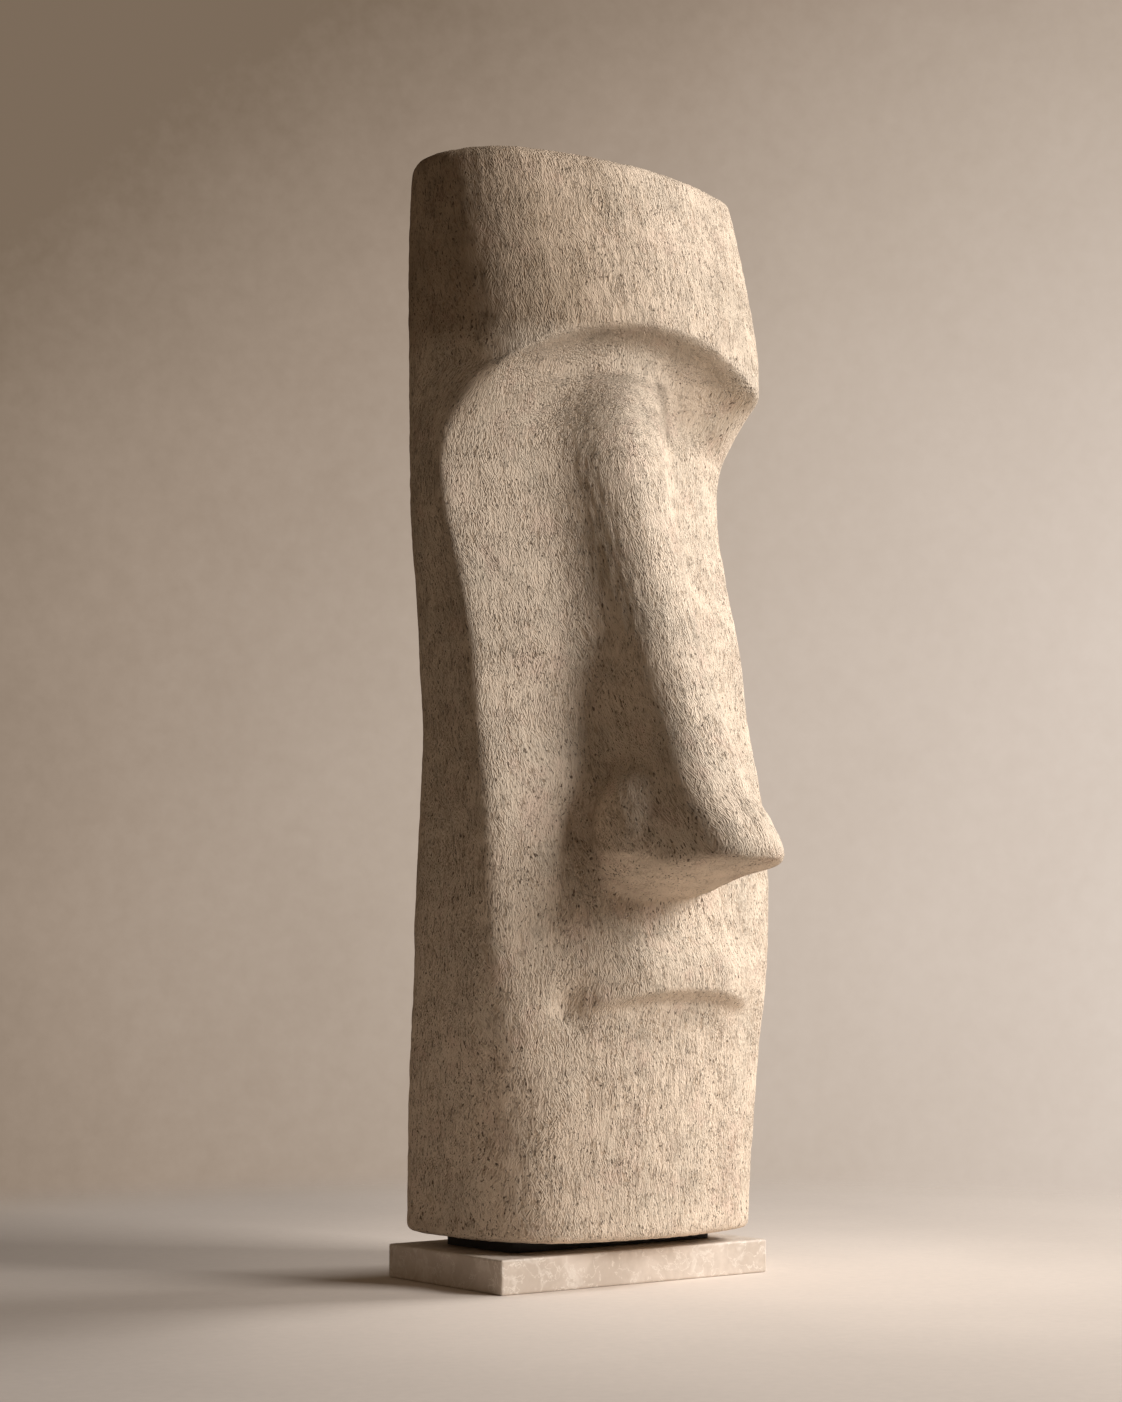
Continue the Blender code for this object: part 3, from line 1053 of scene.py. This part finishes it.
@dataclass
class DressedPlate:
    """A plate that stays as the CAD made it and gets a better finish."""

    node: str
    finish: HonedMarble | BlackPaint

    def build(self) -> bpy.types.Object:
        """Dress the CAD node.

        Returns:
            The plate.
        """
        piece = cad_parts[self.node]
        material = self.finish.make()
        for place in piece.material_slots:
            place.material = material
        return piece


@dataclass(frozen=True)
class Lamp:
    """A soft square lamp that looks at the statue's middle."""

    name: str
    azimuth: float
    elevation: float
    distance: float
    size: float
    power: float
    colour: Colour
    aim_height: float = 0.35

    def build(self) -> bpy.types.Object:
        """Hang the lamp; azimuth 0 is in front of the face and 90 on its right in the picture.

        Returns:
            The lamp.
        """
        light = bpy.data.lights.new(self.name, "AREA")
        light.shape = "SQUARE"
        light.size = self.size
        light.energy = self.power
        light.color = self.colour
        lamp = bpy.data.objects.new(self.name, light)
        bpy.context.scene.collection.objects.link(lamp)
        turn, rise = math.radians(self.azimuth), math.radians(self.elevation)
        middle = Vector((0.0, 0.0, self.aim_height))
        level = math.cos(rise)
        away = Vector((level * math.sin(turn), -level * math.cos(turn), math.sin(rise)))
        lamp.location = middle + away * self.distance
        lamp.rotation_euler = (-away).to_track_quat("-Z", "Y").to_euler()
        return lamp


@dataclass
class Studio:
    """Pale floor, plain surroundings, lamps and the camera."""

    floor_radius: float = 0.95
    floor_rings: int = 24
    floor_columns: int = 96
    fade_start: float = 0.50
    fade_end: float = 0.86
    floor_tint: Colour = (0.77, 0.68, 0.605)
    lamps: tuple[Lamp, ...] = (
        Lamp("side_lamp", 76.0, 27.0, 2.2, 0.7, 42.0, (1.0, 0.985, 0.97)),
        Lamp("front_lamp", 32.0, 22.0, 2.3, 0.9, 54.0, (1.0, 0.97, 0.94)),
    )
    air: Colour = (1.0, 0.74, 0.51)
    air_strength: float = 0.105
    wall_middle: float = 0.04
    wall_stops: tuple[tuple[float, Colour], ...] = (
        (0.2, (0.20, 0.147, 0.103)), (0.35, (0.35, 0.272, 0.21)), (0.5, (0.50, 0.41, 0.334)),
        (0.67, (0.67, 0.57, 0.49)), (0.85, (0.85, 0.75, 0.67)),
    )
    focal_pixels: float = 2600.0
    frame_pixels: float = 1402.0
    camera_turn: float = math.radians(37.0)
    camera_pitch: float = math.radians(6.0)
    camera_distance: float = 1.60776
    camera_height: float = 0.181506
    camera_aside: float = 0.0110207

    def floor(self) -> bpy.types.Object:
        """Make a round pale floor whose rim fades away.

        Returns:
            The floor.
        """
        rings, columns = self.floor_rings, self.floor_columns
        radius, turn = np.meshgrid(np.linspace(0.0, self.floor_radius, rings)[1:],
                                   np.arange(columns) * math.tau / columns, indexing="ij")
        parts = [radius * np.cos(turn), radius * np.sin(turn), np.zeros_like(radius)]
        points = np.stack(parts, axis=-1).reshape(-1, 3)
        faces = [(len(points), j, (j + 1) % columns) for j in range(columns)]
        for i in range(rings - 2):
            for j in range(columns):
                k = (j + 1) % columns
                inner, outer = i * columns, (i + 1) * columns
                faces.append((inner + j, outer + j, outer + k, inner + k))
        made = bpy.data.meshes.new("studio_floor")
        made.from_pydata(points.tolist() + [(0.0, 0.0, 0.0)], [], faces)
        floor = bpy.data.objects.new("studio_floor", made)
        bpy.context.scene.collection.objects.link(floor)
        made.materials.append(self._floor_material())
        return floor

    def _aside(self, net: Net, place: Value) -> Value:
        """Measure how far a place or direction lies to the right in the picture.

        Args:
            net: The net it is measured in.
            place: The place or direction.

        Returns:
            Its part along the picture's right.
        """
        right = (math.cos(self.camera_turn), -math.sin(self.camera_turn), 0.0)
        settings = {"operation": "DOT_PRODUCT"}
        return net.node("ShaderNodeVectorMath", settings, {0: place, 1: right}, "Value")

    def _floor_material(self) -> bpy.types.Material:
        """Make pale plaster that turns clear towards the rim, with painted shade that darkens it
        away from the middle and towards the picture's left.

        Returns:
            The plaster.
        """
        material, net = new_material("floor_plaster")
        place = net.node("ShaderNodeTexCoord", {}, {}, "Object")
        cloud = net.noise(place, 6.0, 4.0, 0.6)
        fine = net.noise(place, 160.0, 3.0, 0.6)
        radius = net.node("ShaderNodeVectorMath", {"operation": "LENGTH"}, {0: place}, "Value")
        aside = self._aside(net, place)
        # Painted shade: the floor darkens away from the middle and towards the picture's left
        shade = (1.0 - 0.22 * radius.step(0.12, 0.50)) * (1.0 - 0.13 * aside.step(0.0, -0.26))
        tint = net.times(self.floor_tint, shade * (0.84 + 0.14 * cloud + 0.12 * fine))
        sockets = {"Base Color": tint, "Roughness": 0.85, "Specular IOR Level": 0.2}
        shader = net.node("ShaderNodeBsdfPrincipled", {}, sockets)
        clear = net.node("ShaderNodeBsdfTransparent")
        faded = radius.step(self.fade_start, self.fade_end)
        mixed = net.node("ShaderNodeMixShader", {}, {0: faded, 1: shader, 2: clear})
        net.node("ShaderNodeOutputMaterial", {}, {"Surface": mixed})
        return material

    def surroundings(self) -> None:
        """Make the air's soft light and the plain backdrop that the camera sees."""
        world = bpy.data.worlds.new("studio_air")
        bpy.context.scene.world = world
        world.use_nodes = True
        net = Net(world.node_tree)
        sockets = {"Color": (*self.air, 1.0), "Strength": self.air_strength}
        air = net.node("ShaderNodeBackground", {}, sockets)
        sockets = {"Color": self._backdrop(net), "Strength": 1.0}
        wall = net.node("ShaderNodeBackground", {}, sockets)
        seen = net.node("ShaderNodeLightPath", {}, {}, "Is Camera Ray")
        mixed = net.node("ShaderNodeMixShader", {}, {0: seen, 1: air, 2: wall})
        net.node("ShaderNodeOutputWorld", {}, {"Surface": mixed})

    def _backdrop(self, net: Net) -> Value:
        """Paint the wall's light by direction: lighter on the right and at mid height.

        Args:
            net: The world's net.

        Returns:
            The wall's colour.
        """
        way = net.node("ShaderNodeTexCoord", {}, {}, "Generated")
        aside = self._aside(net, way)
        rise = net.node("ShaderNodeSeparateXYZ", {}, {"Vector": way}, "Z")
        blotch = net.noise(way, 7.0, 4.0, 0.65)
        plaster = net.noise(way, 160.0, 3.0, 0.6)
        height = rise - self.wall_middle
        # Painted light: the wall is lighter on the right and at mid height
        light = 0.465 + 0.9 * aside - 2.4 * height * height
        light = light + 0.10 * blotch + 0.05 * (plaster - 0.5)
        return net.node("ShaderNodeValToRGB", {"stops": self.wall_stops}, {"Fac": light}, "Color")

    def camera(self) -> bpy.types.Object:
        """Set the camera at the photograph's angle: a long lens, low and tilted up.

        Returns:
            The camera.
        """
        turn, distance, aside = self.camera_turn, self.camera_distance, self.camera_aside
        data = bpy.data.cameras.new("photo_camera")
        data.sensor_width = 36.0
        data.lens = self.focal_pixels * data.sensor_width / self.frame_pixels
        camera = bpy.data.objects.new("photo_camera", data)
        bpy.context.scene.collection.objects.link(camera)
        camera.location = (-aside * math.cos(turn) - distance * math.sin(turn),
                           aside * math.sin(turn) - distance * math.cos(turn), self.camera_height)
        camera.rotation_euler = (math.pi / 2.0 + self.camera_pitch, 0.0, -turn)
        bpy.context.scene.camera = camera
        return camera

    def build(self) -> None:
        """Set up the whole studio."""
        self.camera()
        self.floor()
        self.surroundings()
        for lamp in self.lamps:
            lamp.build()
        bpy.context.scene.view_settings.view_transform = "Standard"


def main() -> None:
    """Build the studio and dress the totem from the plinth up."""
    logging.basicConfig(level=logging.INFO, format="%(message)s")
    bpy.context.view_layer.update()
    Studio().build()
    pieces = [
        DressedPlate("marble_plinth", HonedMarble()),
        DressedPlate("spacer_plate", BlackPaint()),
        MoaiHead(HeadForm(), ToolRelief(), CarvedStone()),
    ]
    for maker in pieces:
        piece = maker.build()
        LOG.info("%s: %d faces", piece.name, len(piece.data.polygons))


if __name__ == "__main__":
    main()
